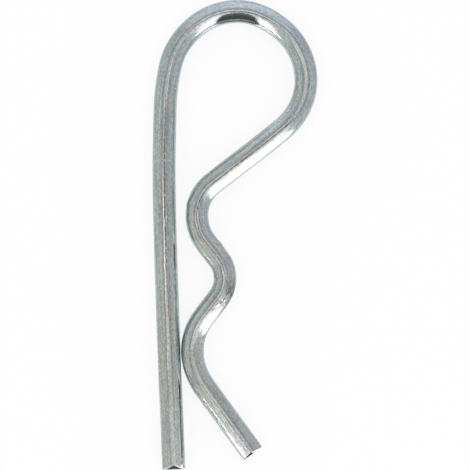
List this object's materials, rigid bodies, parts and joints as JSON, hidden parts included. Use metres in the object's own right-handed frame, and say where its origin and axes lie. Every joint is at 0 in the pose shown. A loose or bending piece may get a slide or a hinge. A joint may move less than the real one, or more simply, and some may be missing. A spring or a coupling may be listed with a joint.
{
  "type": "hitch pin clip",
  "caption": "Flat clip bent from round spring wire: a straight leg for a cross-drilled pin, an open eye to pull it by, and a wavy spring leg that wraps round the pin.",
  "frame": {"origin": "centre of the pin that the clip holds: on the straight leg's axis, level with the crest of the seat, at mid-thickness of the wire", "axes": "+Y along the straight leg towards the eye, +X towards the spring leg, +Z out of the plane of the clip, along the held pin's axis; the clip lies flat"},
  "size_m": [0.0295, 0.081, 0.004],
  "materials": {
    "zinc_plated_wire": "bright zinc plate with a faint blue cast over drawn spring wire, with fine streaks along the wire"
  },
  "bodies": {
    "root": {"hitch_clip": "zinc_plated_wire"}
  },
  "joints": []
}
